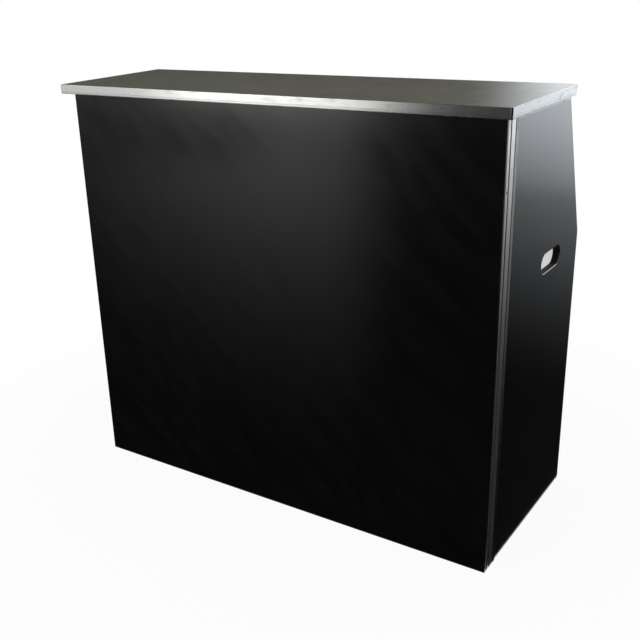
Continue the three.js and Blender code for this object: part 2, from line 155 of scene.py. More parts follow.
def newGroup(name, inputs, outputs):
    tree = bpy.data.node_groups.new(name, "ShaderNodeTree")
    for label, kind, value in inputs:
        socket = tree.interface.new_socket(label, in_out="INPUT", socket_type="NodeSocket" + kind)
        if value is not None:
            socket.default_value = value
    for label in outputs:
        tree.interface.new_socket(label, in_out="OUTPUT", socket_type="NodeSocketFloat")
    return tree, tree.nodes.new("NodeGroupInput").outputs, tree.nodes.new("NodeGroupOutput").inputs


def placeGroup(tree, group, **values):
    node = tree.nodes.new("ShaderNodeGroup")
    node.node_tree = group
    for label, value in values.items():
        feed(tree, value, node.inputs[label])
    return node.outputs


# slow clouding left by wiping, and a pebble as fine as a pressing plate leaves
def pebbleGroup():
    tree, given, out = newGroup(
        "pebbledFace",
        [("Vector", "Vector", None), ("Cloud", "Float", 5.0), ("Pebble", "Float", 900.0)],
        ["Cloud", "Pebble", "Wave"],
    )
    wiped = stretched(tree, given["Vector"], (0.7, 1.6, 3.2), (0.0, 0.75, 0.25))
    cloud = noise(tree, wiped, given["Cloud"], 2.0, 0.45, 0.5)
    feed(tree, spread(tree, cloud, 0.32, 0.68, 0.0, 1.0, True), out["Cloud"])
    feed(tree, noise(tree, given["Vector"], given["Pebble"], 1.5, 0.5), out["Pebble"])
    feed(tree, noise(tree, given["Vector"], 2.6, 1.0, 0.4), out["Wave"])
    return tree


# hair scratches: long thin islands of three noises, each stretched along a direction that lies in one kind of face
def scratchGroup():
    tree, given, out = newGroup(
        "hairScratches",
        [("Vector", "Vector", None), ("Density", "Float", 1.0), ("Share", "Float", 0.72)],
        ["Lines"],
    )
    runs, lines = (
        ((0.0, 0.6, 0.0), (9.0, 520.0, 520.0)), ((0.7, 0.0, 0.0), (430.0, 430.0, 7.0)), ((0.0, 0.0, 0.35), (8.0, 480.0, 480.0)),
    ), 0.0
    for turn, factors in runs:
        run = noise(tree, stretched(tree, given["Vector"], factors, turn), given["Density"], 1.0, 0.5)
        line = spread(tree, run, given["Share"], maths(tree, "ADD", given["Share"], 0.05), 0.0, 1.0)
        lines = maths(tree, "MAXIMUM", line, lines)
    patch = spread(tree, noise(tree, given["Vector"], 4.0, 3.0), 0.45, 0.7, 0.0, 1.0, True)
    feed(tree, maths(tree, "MULTIPLY", lines, patch), out["Lines"])
    return tree


# brushed metal: noise drawn out along the piece, read from its own map of (round, along)
def brushGroup():
    tree, given, out = newGroup(
        "brushedRun",
        [("Vector", "Vector", None), ("Density", "Float", 1800.0)],
        ["Lines", "Fine", "Stain"],
    )
    coarse = stretched(tree, given["Vector"], (1.0, 0.010, 1.0))
    fine = stretched(tree, given["Vector"], (1.0, 0.020, 1.0))
    feed(tree, noise(tree, coarse, given["Density"], 3.0, 0.6), out["Lines"])
    feed(tree, noise(tree, fine, maths(tree, "MULTIPLY", given["Density"], 3.1), 2.0, 0.5), out["Fine"])
    stain = noise(tree, stretched(tree, given["Vector"], (1.0, 0.35, 1.0)), 60.0, 4.0, 0.65)
    feed(tree, spread(tree, stain, 0.5, 0.72, 0.0, 1.0, True), out["Stain"])
    return tree


# rubbed edges: the piece's own edge mask, broken up along its length
def rubGroup():
    tree, given, out = newGroup(
        "rubbedEdge",
        [("Vector", "Vector", None), ("Edge", "Float", 0.0), ("Amount", "Float", 0.6)],
        ["Rub"],
    )
    patches = spread(tree, noise(tree, given["Vector"], 22.0, 5.0, 0.65), 0.42, 0.62, 0.15, 1.0, True)
    nicks = spread(tree, noise(tree, given["Vector"], 260.0, 2.0), 0.35, 0.6, 0.35, 1.0)
    worn = maths(tree, "MULTIPLY", maths(tree, "MULTIPLY", patches, nicks), given["Edge"])
    feed(tree, maths(tree, "MULTIPLY", worn, given["Amount"], True), out["Rub"])
    return tree


# dust lies on what faces up at rest, as a thin uneven film with a few specks
def dustGroup():
    tree, given, out = newGroup(
        "settledDust",
        [("Vector", "Vector", None), ("Facing", "Vector", None), ("Amount", "Float", 0.2)],
        ["Dust"],
    )
    parts = tree.nodes.new("ShaderNodeSeparateXYZ")
    feed(tree, given["Facing"], parts.inputs[0])
    upward = spread(tree, parts.outputs[2], 0.55, 0.98, 0.0, 1.0, True)
    film = spread(tree, noise(tree, given["Vector"], 9.0, 6.0, 0.6), 0.35, 0.75, 0.15, 1.0)
    specks = spread(tree, noise(tree, given["Vector"], 700.0, 1.0), 0.72, 0.76, 0.0, 1.0)
    lying = maths(tree, "MULTIPLY", upward, maths(tree, "MAXIMUM", film, specks))
    feed(tree, maths(tree, "MULTIPLY", lying, given["Amount"], True), out["Dust"])
    return tree


pebbledFace, hairScratches, brushedRun = pebbleGroup(), scratchGroup(), brushGroup()
rubbedEdge, settledDust = rubGroup(), dustGroup()
print("shared effects ready")


def attribute(tree, name):
    node = tree.nodes.new("ShaderNodeAttribute")
    node.attribute_name = name
    return node.outputs["Fac"]


def newMaterial(name, **plain):
    material = bpy.data.materials.new(name)
    material.use_nodes = True
    tree = material.node_tree
    shader = tree.nodes["Principled BSDF"]
    for label, value in plain.items():
        shader.inputs[label.replace("_", " ")].default_value = value
    coords = tree.nodes.new("ShaderNodeTexCoord").outputs
    return material, tree, shader.inputs, coords, attribute(tree, "edge")


def bump(tree, shaderInputs, height):
    node = tree.nodes.new("ShaderNodeBump")
    node.inputs["Strength"].default_value = 1.0
    node.inputs["Distance"].default_value = 1.0
    feed(tree, height, node.inputs["Height"])
    feed(tree, node.outputs[0], shaderInputs["Normal"])


def summed(tree, *terms):
    total = terms[0]
    for term in terms[1:]:
        total = maths(tree, "ADD", total, term)
    return total


def times(tree, value, factor):
    return maths(tree, "MULTIPLY", value, factor)


# pressed laminate on the boards: pebbled satin, clouded by wiping, a few hair scratches
blackLaminateLook = {
    "deep": (0.0013, 0.0014, 0.0013), "clouded": (0.0024, 0.0025, 0.0023),
    "scratch": (0.010, 0.010, 0.0097), "dust": (0.06, 0.059, 0.055), "sheen": 0.6,
    "satin": (0.156, 0.176), "pebble": 900.0, "pebbleDepth": 0.000006, "waveDepth": 0.00030, "dusty": 0.08,
}
counterLaminateLook = {
    "deep": (0.118, 0.118, 0.0935), "clouded": (0.124, 0.124, 0.099),
    "scratch": (0.13, 0.128, 0.118), "dust": (0.22, 0.21, 0.19), "sheen": 0.6,
    "satin": (0.268, 0.297), "pebble": 700.0, "pebbleDepth": 0.000014, "waveDepth": 0.00020, "dusty": 0.10,
}


def laminate(name, look):
    material, tree, shader, coords, edge = newMaterial(name, Metallic=0.0, Specular_IOR_Level=look["sheen"])
    cut = attribute(tree, "cut")
    face = placeGroup(tree, pebbledFace, Vector=coords["Object"], Cloud=9.0, Pebble=look["pebble"])
    lines = placeGroup(tree, hairScratches, Vector=coords["Object"], Density=1.0, Share=0.70)["Lines"]
    dust = placeGroup(tree, settledDust, Vector=coords["Object"], Facing=coords["Normal"], Amount=look["dusty"])["Dust"]
    rub = placeGroup(tree, rubbedEdge, Vector=coords["Object"], Edge=edge, Amount=0.5)["Rub"]
    colour = blendColour(tree, face["Cloud"], rgba(look["deep"]), rgba(look["clouded"]))
    colour = blendColour(tree, maths(tree, "MAXIMUM", times(tree, lines, 0.5), rub), colour, rgba(look["scratch"]))
    feed(tree, blendColour(tree, dust, colour, rgba(look["dust"])), shader["Base Color"])
    satin = spread(tree, face["Cloud"], 0.0, 1.0, *look["satin"])
    satin = summed(tree, satin, times(tree, lines, 0.04), times(tree, dust, 0.35))
    feed(tree, maths(tree, "MAXIMUM", satin, times(tree, cut, 0.75)), shader["Roughness"])
    bump(tree, shader, summed(
        tree, times(tree, face["Pebble"], look["pebbleDepth"]), times(tree, face["Wave"], look["waveDepth"]),
        times(tree, lines, -0.0000006),
    ))
    return material


# drawn aluminium and plated steel: fine lines along the piece, dull stains, bright rubbed edges
aluminiumLook = {
    "bright": (0.52, 0.52, 0.51), "dull": (0.40, 0.40, 0.39), "stain": (0.31, 0.305, 0.29),
    "gloss": (0.25, 0.33), "density": 1900.0, "lineDepth": 0.0000022, "dusty": 0.06, "drawn": 0.95,
}
rolledStripLook = {
    "bright": (0.62, 0.62, 0.605), "dull": (0.48, 0.48, 0.47), "stain": (0.38, 0.375, 0.36),
    "gloss": (0.31, 0.39), "density": 1900.0, "lineDepth": 0.0000022, "dusty": 0.06, "drawn": 0.3,
}
# the counter's end angles: a darker copy of the drawn aluminium, painted shade that holds their bright reflection down;
# their rubbed edges go lighter, wear and a painted highlight along the arris
shadedEndAngleLook = {
    "bright": (0.37, 0.37, 0.365), "dull": (0.24, 0.24, 0.235), "stain": (0.06, 0.059, 0.055),
    "gloss": (0.25, 0.33), "density": 1900.0, "lineDepth": 0.0000022, "dusty": 0.06, "drawn": 0.95,
    "rubbedHighlight": (0.80, 0.80, 0.79),
}
# the side panels' channels: a darker copy of the drawn aluminium
darkerChannelLook = {
    "bright": (0.27, 0.27, 0.265), "dull": (0.20, 0.20, 0.195), "stain": (0.16, 0.158, 0.15),
    "gloss": (0.27, 0.36), "density": 1900.0, "lineDepth": 0.0000022, "dusty": 0.06, "drawn": 0.9,
}
steelLook = {
    "bright": (0.66, 0.67, 0.68), "dull": (0.50, 0.51, 0.52), "stain": (0.36, 0.35, 0.32),
    "gloss": (0.20, 0.34), "density": 2600.0, "lineDepth": 0.0000015, "dusty": 0.05, "drawn": 0.4,
}
darkScrewLook = {
    "bright": (0.060, 0.060, 0.062), "dull": (0.030, 0.030, 0.031), "stain": (0.10, 0.095, 0.09),
    "gloss": (0.32, 0.46), "density": 2600.0, "lineDepth": 0.0000015, "dusty": 0.03, "drawn": 0.0,
}


# grime and painted shade: the near-black that the counter angles' mitre ends turn to where the cut mask is set
grimeAndShade = (0.012, 0.012, 0.011)


def drawnMetal(name, look):
    material, tree, shader, coords, edge = newMaterial(name, Metallic=1.0, Anisotropic=look["drawn"])
    across = tree.nodes.new("ShaderNodeTangent")
    across.direction_type, across.uv_map = "UV_MAP", "run"
    feed(tree, across.outputs[0], shader["Tangent"])
    cut = attribute(tree, "cut")
    run = placeGroup(tree, brushedRun, Vector=coords["UV"], Density=look["density"])
    lines = placeGroup(tree, hairScratches, Vector=coords["Object"], Density=1.6, Share=0.68)["Lines"]
    rub = placeGroup(tree, rubbedEdge, Vector=coords["Object"], Edge=edge, Amount=0.85)["Rub"]
    dust = placeGroup(tree, settledDust, Vector=coords["Object"], Facing=coords["Normal"], Amount=look["dusty"])["Dust"]
    colour = blendColour(tree, run["Lines"], rgba(look["dull"]), rgba(look["bright"]))
    colour = blendColour(tree, times(tree, run["Stain"], 0.45), colour, rgba(look["stain"]))
    colour = blendColour(tree, rub, colour, rgba(look.get("rubbedHighlight", look["bright"])))
    # where the cut mask is set the colour goes to near-black: grime and painted shade at the counter angles' mitre ends
    feed(tree, blendColour(tree, cut, colour, rgba(grimeAndShade)), shader["Base Color"])
    gloss = spread(tree, run["Fine"], 0.25, 0.75, *look["gloss"])
    worn = maths(tree, "SUBTRACT", summed(tree, gloss, times(tree, run["Stain"], 0.10), dust), times(tree, rub, 0.10))
    feed(tree, summed(tree, worn, times(tree, lines, 0.08), times(tree, cut, 0.3)), shader["Roughness"])
    bump(tree, shader, summed(
        tree, times(tree, run["Lines"], look["lineDepth"]), times(tree, lines, -0.000004),
    ))
    return material


# moulded and extruded plastics and rubber: grained skin, paler where handled
edgeBandLook = {
    "deep": (0.0060, 0.0060, 0.0058), "pale": (0.030, 0.030, 0.029), "grain": 700.0,
    "skin": (0.36, 0.50), "grainDepth": 0.000016, "handled": 0.55,
}
nylonLook = {
    "deep": (0.0100, 0.0100, 0.0098), "pale": (0.050, 0.050, 0.048), "grain": 1100.0,
    "skin": (0.46, 0.62), "grainDepth": 0.000030, "handled": 0.45,
}
rubberLook = {
    "deep": (0.0110, 0.0110, 0.0108), "pale": (0.050, 0.048, 0.045), "grain": 420.0,
    "skin": (0.72, 0.90), "grainDepth": 0.000045, "handled": 0.35,
}


def mouldedSkin(name, look):
    material, tree, shader, coords, edge = newMaterial(name, Metallic=0.0)
    face = placeGroup(tree, pebbledFace, Vector=coords["Object"], Cloud=14.0, Pebble=look["grain"])
    rub = placeGroup(tree, rubbedEdge, Vector=coords["Object"], Edge=edge, Amount=look["handled"])["Rub"]
    dust = placeGroup(tree, settledDust, Vector=coords["Object"], Facing=coords["Normal"], Amount=0.10)["Dust"]
    pale = maths(tree, "MAXIMUM", times(tree, face["Cloud"], 0.10), maths(tree, "MAXIMUM", rub, dust))
    feed(tree, blendColour(tree, pale, rgba(look["deep"]), rgba(look["pale"])), shader["Base Color"])
    skin = spread(tree, face["Pebble"], 0.3, 0.7, *look["skin"])
    feed(tree, maths(tree, "SUBTRACT", skin, times(tree, rub, 0.08)), shader["Roughness"])
    bump(tree, shader, times(tree, face["Pebble"], look["grainDepth"]))
    return material


finishes = {
    "black_laminate": laminate("blackLaminate", blackLaminateLook),
    "counter_laminate": laminate("counterLaminate", counterLaminateLook),
    "aluminium_trim": drawnMetal("drawnAluminium", aluminiumLook),
    "steel": drawnMetal("platedSteel", steelLook),
    "edge_band": mouldedSkin("edgeBand", edgeBandLook),
    "nylon": mouldedSkin("mouldedNylon", nylonLook),
    "rubber": mouldedSkin("bufferRubber", rubberLook),
}
darkScrew = drawnMetal("blackenedSteel", darkScrewLook)
rolledStrip = drawnMetal("rolledAluminium", rolledStripLook)
darkerChannel = drawnMetal("darkerAluminium", darkerChannelLook)
shadedEndAngle = drawnMetal("shadedEndAluminium", shadedEndAngleLook)
print("finishes ready:", len(finishes) + 4)


# a shell is a closed surface as arrays: points, four-cornered faces, end faces, an edge mask and a (round, along) map
def gridShell(points, edge, roundMap, alongMap, closedRows=False):
    # rows x columns of points, columns always closed; rows closed too, or ended by two flat faces
    rows, columns = points.shape[:2]
    k = np.arange(rows if closedRows else rows - 1)[:, None]
    i = np.arange(columns)[None, :]
    nextRow, nextColumn = (k + 1) % rows, (i + 1) % columns
    quads = np.stack([k * columns + i, k * columns + nextColumn, nextRow * columns + nextColumn, nextRow * columns + i], -1)
    roundFar = np.append(roundMap[1:], roundMap[-1] + np.linalg.norm(points[0, 0] - points[0, -1]))
    alongFar = np.append(alongMap[1:], alongMap[-1])
    near, far = alongMap[: len(k), None], alongFar[: len(k), None]
    u0, u1 = np.broadcast_to(roundMap, quads.shape[:2]), np.broadcast_to(roundFar, quads.shape[:2])
    v0, v1 = np.broadcast_to(near, quads.shape[:2]), np.broadcast_to(far, quads.shape[:2])
    maps = np.stack([u0, v0, u1, v0, u1, v1, u0, v1], -1)
    ends = [] if closedRows else [np.arange(columns)[::-1], (rows - 1) * columns + np.arange(columns)]
    return {
        "points": points.reshape(-1, 3), "quads": quads.reshape(-1, 4), "maps": maps.reshape(-1, 2),
        "ends": ends, "edge": np.broadcast_to(edge, (rows, columns)).reshape(-1), "cut": np.zeros(rows * columns),
    }


def lengthRound(points):
    return np.concatenate([[0.0], np.cumsum(np.linalg.norm(np.diff(points, axis=0), axis=1))])


def roundCorners(corners, radius, steps=4):
    # each corner gives way to an arc that touches both of its edges: its centre lies on the corner's bisector,
    # radius / sin(half the corner) away, and a corner that turns inwards has its arc on the outside
    corners = np.asarray(corners, float)
    back, ahead = np.roll(corners, 1, 0) - corners, np.roll(corners, -1, 0) - corners
    backRun, aheadRun = (np.linalg.norm(side, axis=1, keepdims=True) for side in (back, ahead))
    back, ahead = back / backRun, ahead / aheadRun
    half = np.arccos(np.clip((back * ahead).sum(1, keepdims=True), -1, 1)) / 2
    wanted = np.broadcast_to(np.reshape(np.asarray(radius, float), (-1, 1)), half.shape)
    reach = np.minimum(wanted / np.tan(half), 0.49 * np.minimum(backRun, aheadRun))
    arc = reach * np.tan(half)
    bisector = (back + ahead) / np.linalg.norm(back + ahead, axis=1, keepdims=True)
    centre = corners + bisector * arc / np.sin(half)
    turn = np.sign(ahead[:, :1] * back[:, 1:] - ahead[:, 1:] * back[:, :1])
    angle = np.linspace(0, 1, steps + 1) * (np.pi - 2 * half) * turn
    first = corners + back * reach - centre
    swung = np.stack([
        first[:, :1] * np.cos(angle) - first[:, 1:] * np.sin(angle),
        first[:, :1] * np.sin(angle) + first[:, 1:] * np.cos(angle),
    ], -1)
    outward = swung / arc[:, :, None] * turn[:, :, None]
    points = (centre[:, None] + swung).reshape(-1, 2)
    mask = np.tile(np.sin(np.linspace(0, np.pi, steps + 1)), len(corners))
    return points, outward.reshape(-1, 2), mask


def stadium(gap, radius, steps=12):
    # two half circles about (0, 0) and (0, gap), joined by straight sides
    turn = np.concatenate([np.linspace(np.pi, 2 * np.pi, steps + 1), np.linspace(0, np.pi, steps + 1)])
    outward = np.stack([np.cos(turn), np.sin(turn)], -1)
    middle = np.stack([np.zeros_like(turn), np.repeat([0.0, gap], steps + 1)], -1)
    return middle + radius * outward, outward, np.zeros(len(turn))


def carryOutline(outline, start, inward, along, length, slopes=(0, 0), ease=0.0):
    # a point (u, v) of the outline goes to start + across u + inward v + along (t + slope v), across = inward x along;
    # towards each end the outline draws in by ease (1 - sin a) while t moves by ease (1 - cos a), a quarter circle
    points, outward, mask = outline
    inward, along = np.asarray(inward, float), np.asarray(along, float)
    turn = np.linspace(0, np.pi / 2, 4) if ease else np.array([np.pi / 2])
    drawn, moved = ease * (1 - np.sin(turn)), ease * (1 - np.cos(turn))
    drawn = np.concatenate([drawn, drawn[::-1]])
    t = np.concatenate([moved, length - moved[::-1]])
    slope = np.repeat(slopes, len(turn))
    flat = points[None] - outward[None] * drawn[:, None, None]
    run = t[:, None] + slope[:, None] * flat[..., 1]
    placed = np.asarray(start, float) + flat[..., :1] * np.cross(inward, along) + flat[..., 1:] * inward + run[..., None] * along
    rowMask = np.sin(2 * turn) if ease else np.zeros(1)
    edge = np.maximum(mask[None], np.concatenate([rowMask, rowMask[::-1]])[:, None])
    return gridShell(placed, edge, lengthRound(points), t)


def turnOutline(outline, origin, axis, sides=24, mask=None):
    # a line of (radius, height) points spun about the axis through origin
    outline = np.asarray(outline, float)
    axis = np.asarray(axis, float)
    side = np.roll(axis, 1)
    angle = np.linspace(0, 2 * np.pi, sides, endpoint=False)
    spoke = np.cos(angle)[:, None] * side + np.sin(angle)[:, None] * np.cross(axis, side)
    placed = np.asarray(origin, float) + outline[:, :1, None] * spoke[None] + outline[:, 1:, None] * axis
    edge = np.zeros((len(outline), 1)) if mask is None else np.asarray(mask, float)[:, None]
    return gridShell(placed, edge, angle * outline[:, 0].max(), outline[:, 1])


def mirrorShell(shell):
    # x turned round, and each face's order with it, so that it still faces out
    return {
        "points": shell["points"] * (-1, 1, 1), "quads": shell["quads"][:, ::-1],
        "maps": shell["maps"].reshape(-1, 4, 2)[:, ::-1].reshape(-1, 2),
        "ends": [end[::-1] for end in shell["ends"]], "edge": shell["edge"], "cut": shell["cut"],
    }


def makePiece(name, shells, slot, stands=(), body=None, material=None):
    starts = np.cumsum([0] + [len(shell["points"]) for shell in shells])
    faces, maps = [], []
    for shell, start in zip(shells, starts):
        faces += (shell["quads"] + start).tolist()
        maps.append(shell["maps"])
    for shell, start in zip(shells, starts):
        for end in shell["ends"]:
            faces.append((end + start).tolist())
            maps.append(shell["points"][end][:, :2])
    mesh = bpy.data.meshes.new(name)
    mesh.from_pydata(np.concatenate([shell["points"] for shell in shells]).tolist(), [], faces)
    mesh.uv_layers.new(name="run").uv.foreach_set("vector", np.concatenate(maps).astype(np.float32).ravel())
    for mask in ("edge", "cut"):
        values = np.concatenate([shell[mask] for shell in shells]).astype(np.float32)
        mesh.attributes.new(mask, "FLOAT", "POINT").data.foreach_set("value", values)
    mesh.shade_smooth()
    mesh.set_sharp_from_angle(angle=0.6)
    mesh.materials.append(material or finishes[slot])
    piece = bpy.data.objects.new(name, mesh)
    scene.collection.objects.link(piece)
    evened = piece.modifiers.new("evened", "WEIGHTED_NORMAL")
    evened.keep_sharp = True
    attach(piece, body or nodes[stands[0]]["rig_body"])
    if stands:
        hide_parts(*stands)
    return piece


def boxOf(node):
    low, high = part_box(node)
    return np.array(low), np.array(high)


def forHand(hand, shells):
    return [mirrorShell(shell) for shell in shells] if hand == "left" else shells


# strips, bands and the shelf: a rectangle with eased corners carried along the longest side, eased at both ends
easedBlocks = {
    "front_bottom_strip": ("aluminium_trim", 0.4), "front_left_strip": ("aluminium_trim", 0.6),
    "front_right_strip": ("aluminium_trim", 0.6), "left_side_bottom_strip": ("aluminium_trim", 0.4),
    "right_side_bottom_strip": ("aluminium_trim", 0.4), "shelf_rear_strip": ("aluminium_trim", 0.6),
    "shelf_board": ("black_laminate", 0.5), "shelf_left_band": ("edge_band", 0.4),
    "shelf_right_band": ("edge_band", 0.4), "left_catch_block": ("nylon", 1.6), "right_catch_block": ("nylon", 1.6),
}


def easedBlock(low, high, ease):
    span = high - low
    long = int(np.argmax(span))
    along, inward = np.eye(3)[long], np.eye(3)[(long + 2) % 3]
    half = span @ np.stack([np.abs(np.cross(inward, along)), inward], 1) / 2
    outline = roundCorners(half * [(-1, -1), (1, -1), (1, 1), (-1, 1)], ease)
    return carryOutline(outline, (low + high - along * span) / 2, inward, along, span[long], ease=ease)


for node, (slot, ease) in easedBlocks.items():
    strip = rolledStrip if slot == "aluminium_trim" else None
    makePiece(node + "_eased", [easedBlock(*boxOf(node), ease * mm)], slot, [node], material=strip)

# front panel: a face layer over the strips' front edges, on a core that stops short of them
frontPanelSize = {"faceLayer": 7.7, "setIn": 3.0, "faceEase": 0.6, "coreEase": 0.3}


def frontPanel(size):
    low, high = boxOf("front_panel")
    back = low[1] + size["faceLayer"] * mm
    setIn = size["setIn"] * mm
    face = easedBlock(low, np.array([high[0], back, high[2]]), size["faceEase"] * mm)
    core = easedBlock(np.array([low[0] + setIn, back, setIn]), high - axisX * setIn, size["coreEase"] * mm)
    return [face, core]


makePiece("front_panel_eased", frontPanel(frontPanelSize), "black_laminate", ["front_panel"])
print("strips, bands, shelf and front panel eased:", len(easedBlocks) + 1)


# edge trim: an outer wall with a leg on one face of the board or on both, its ends cut on a slant to meet in a mitre
trimSize = {
    "wall": 1.2, "leg": 12.7, "outerRound": 0.9, "tipRound": 0.45, "topRound": 1.0, "innerRound": 0.4,
    # share of the corner arc from which the mitre end is painted dark, grime and painted shade
    "topSlope": 0.38142, "cornerRound": 4.0, "grimeAndShade": 0.45, "groove": (6.3, 5.8, 4.9, 4.4), "grooveDepth": 0.8,
    "beadRound": 2.0,
}


def trimOutline(width, legs):
    wall, leg, half = trimSize["wall"] * mm, trimSize["leg"] * mm, width / 2
    outer, tip, inside = (trimSize[key] * mm for key in ("outerRound", "tipRound", "innerRound"))
    inner = half - wall
    if legs == 2:
        corners = [(half, 0), (half, leg), (inner, leg), (inner, wall)]
        mirrored = [(-u, v) for u, v in corners[::-1]]
        return roundCorners(corners + mirrored, [outer, tip, tip, inside, inside, tip, tip, outer])
    # with one leg, a line is drawn along the outer face above a rounded bead
    depths = np.array([0, trimSize["grooveDepth"], trimSize["grooveDepth"], 0]) * mm
    groove = np.column_stack([half - np.array(trimSize["groove"]) * mm, depths])
    corners = [(-half, 0), *groove, (half, 0), (half, leg), (inner, leg), (inner, wall), (-half, wall)]
    line = [0.15 * mm] * 4
    top, bead = trimSize["topRound"] * mm, trimSize["beadRound"] * mm
    return roundCorners(corners, [top, *line, bead, tip, tip, inside, 0.1 * mm])


def layChannel(node, startCorner, inward, along, slopes, length=None):
    low, high = boxOf(node)
    inward, along = np.array(inward, float), np.array(along, float)
    across = np.abs(np.cross(inward, along))
    span = high - low
    start = np.where(np.array(startCorner) > 0, high, low) * (1 - across) + (low + high) / 2 * across
    run = length or span @ np.abs(along)
    return carryOutline(trimOutline(span @ across, 2), start, inward, along, run, slopes)


def bentAngle(node, startCorner, inward, along):
    # an outline point v in from the outer face turns the corner on an arc of radius round - v as far as the mitre,
    # where the end is painted dark, grime and painted shade of the joint; one that lies deeper than the round runs
    # straight on, v from the end
    low, high = boxOf(node)
    across = np.abs(np.cross(inward, along))
    span = high - low
    start = np.where(np.array(startCorner) > 0, high, low) * (1 - across) + (low + high) / 2 * across
    points, _, mask = trimOutline(span @ across, 1)
    bend, length, v = trimSize["cornerRound"] * mm, span @ np.abs(along), points[:, 1]
    share = np.linspace(0, 1, 9)[:, None]
    arc = np.maximum(bend - v, 0)
    turned = v < bend
    end = np.where(turned, bend - arc * np.sin(share * np.pi / 4), v + bend * (1 - share))
    deep = np.where(turned, bend - arc * np.cos(share * np.pi / 4), v)
    t = np.concatenate([end[::-1], length - end])
    inset = np.concatenate([deep[::-1], deep])
    placed = start + points[:, :1] * np.cross(inward, along) + inset[..., None] * inward + t[..., None] * along
    shell = gridShell(placed, mask, lengthRound(points), t[:, 0])
    # the arc's last rows carry the cut mask, which paints grime and shade into the mitre joint
    grimyAndShaded = share[:, 0] > trimSize["grimeAndShade"]
    shell["cut"] = np.repeat(np.concatenate([grimyAndShaded[::-1], grimyAndShaded]), len(points))
    return shell


counterRuns = {
    "counter_front_angle": ((0, 0, 0), axisY, axisX), "counter_right_angle": ((1, 0, 0), -axisX, axisY),
    "counter_back_angle": ((1, 1, 0), -axisY, -axisX), "counter_left_angle": ((0, 1, 0), axisX, -axisY),
}
for node, (corner, inward, along) in counterRuns.items():
    # the end angles take the darker copy of the aluminium: painted shade
    shadedCopy = shadedEndAngle if node in ("counter_left_angle", "counter_right_angle") else None
    makePiece(node + "_drawn", [bentAngle(node, corner, inward, along)], "aluminium_trim", [node], material=shadedCopy)
for hand in ("left", "right"):
    node = hand + "_side_front_channel"
    shell = layChannel(node, (0, 0, 0), axisY, axisZ, (0, -1))
    makePiece(node + "_drawn", [shell], "aluminium_trim", [node], material=darkerChannel)
    node = hand + "_side_top_channel"
    low, high = boxOf(node)
    overrun = trimSize["topSlope"] * trimSize["leg"] * mm
    shell = layChannel(node, (0, 0, 1), -axisZ, axisY, (1, trimSize["topSlope"]), high[1] - low[1] - overrun)
    makePiece(node + "_drawn", [shell], "aluminium_trim", [node], material=darkerChannel)
print("channels and angles drawn")


# hinge stile: a hollow section with a step in its outer front corner, cut off square at both ends
stileSize = {
    "outer": [(569.0, -219.2), (578.0, -219.2), (578.0, -213.5), (590.0, -213.5), (590.0, -193.5), (569.0, -193.5)],
    "inner": [(571.5, -216.7), (575.5, -216.7), (575.5, -211.0), (587.5, -211.0), (587.5, -196.0), (571.5, -196.0)],
    "round": 0.8,
}


def hingeStile(node, size):
    low, high = boxOf(node)
    outer, _, mask = roundCorners(np.array(size["outer"]) * mm, size["round"] * mm)
    inner, _, _ = roundCorners(np.array(size["inner"]) * mm, size["round"] * mm)
    rows = [(outer, low[2]), (outer, high[2]), (inner, high[2]), (inner, low[2])]
    placed = np.stack([np.column_stack([line, np.full(len(line), z)]) for line, z in rows])
    edge = np.stack([mask, mask, mask * 0, mask * 0])
    return gridShell(placed, edge, lengthRound(outer), np.array([0.0, high[2] - low[2], high[2] - low[2], 0.0]), True)


# side panel: a closed ring of a board, whose section runs out over the edge, in across the face and through the hand hole
sidePanelSize = {
    "outline": [(-188.5, 3.0), (265.2, 3.0), (265.2, 694.576), (132.61, 1042.2), (-188.5, 1042.2)],
    "faces": (570.5, 588.5), "holeMiddle": (80.5, 673.0), "holeGap": 76.0, "holeRadius": 23.0, "holeRound": 3.2,
}


def rayToOutline(corners, angles):
    # how far the outline is from its middle along each angle: the nearest crossing of the ray with any edge
    first, second = corners[None], np.roll(corners, -1, 0)[None]
    ray = np.stack([np.cos(angles), np.sin(angles)], -1)[:, None]
    side = second - first
    slant = ray[..., 0] * side[..., 1] - ray[..., 1] * side[..., 0]
    slant = np.where(np.abs(slant) < 1e-12, 1e-12, slant)
    far = (first[..., 0] * side[..., 1] - first[..., 1] * side[..., 0]) / slant
    share = (first[..., 0] * ray[..., 1] - first[..., 1] * ray[..., 0]) / slant
    hit = (far > 0) & (share > -1e-7) & (share < 1 + 1e-7)
    return np.where(hit, far, np.inf).min(1)[:, None] * ray[:, 0]


def sidePanel(size):
    middle = np.array(size["holeMiddle"]) * mm
    corners = np.array(size["outline"]) * mm - middle
    inner, outer = np.array(size["faces"]) * mm
    radius, ease, gap = (size[key] * mm for key in ("holeRadius", "holeRound", "holeGap"))

    def hole(offset):
        line = stadium(gap, radius + offset, 20)[0] - (0, gap / 2)
        return line[:, ::-1] * (1, -1)

    angles = np.concatenate([np.arctan2(*line.T[::-1]) for line in (hole(0), corners)])
    angles = np.unique(np.round(angles, 6))
    board = rayToOutline(corners, angles)
    turn = np.linspace(0, np.pi / 2, 6)
    over = [(rayToOutline(hole(ease * (1 - np.sin(a))), angles), ease * (1 - np.cos(a))) for a in turn]
    rows = [(board, inner), (board, outer)]
    rows += [(line, outer - deep) for line, deep in over] + [(line, inner + deep) for line, deep in over[::-1]]
    placed = np.stack([np.column_stack([np.full(len(line), x), line + middle]) for line, x in rows])
    lip, wall = np.sin(2 * turn), turn > 1.2
    edge = np.concatenate([[0, 0], lip, lip[::-1]])[:, None]
    shell = gridShell(placed, edge, lengthRound(board), np.arange(len(rows)) * ease, True)
    shell["cut"] = np.repeat(np.concatenate([[0, 0], wall, wall[::-1]]), len(angles))
    return shell


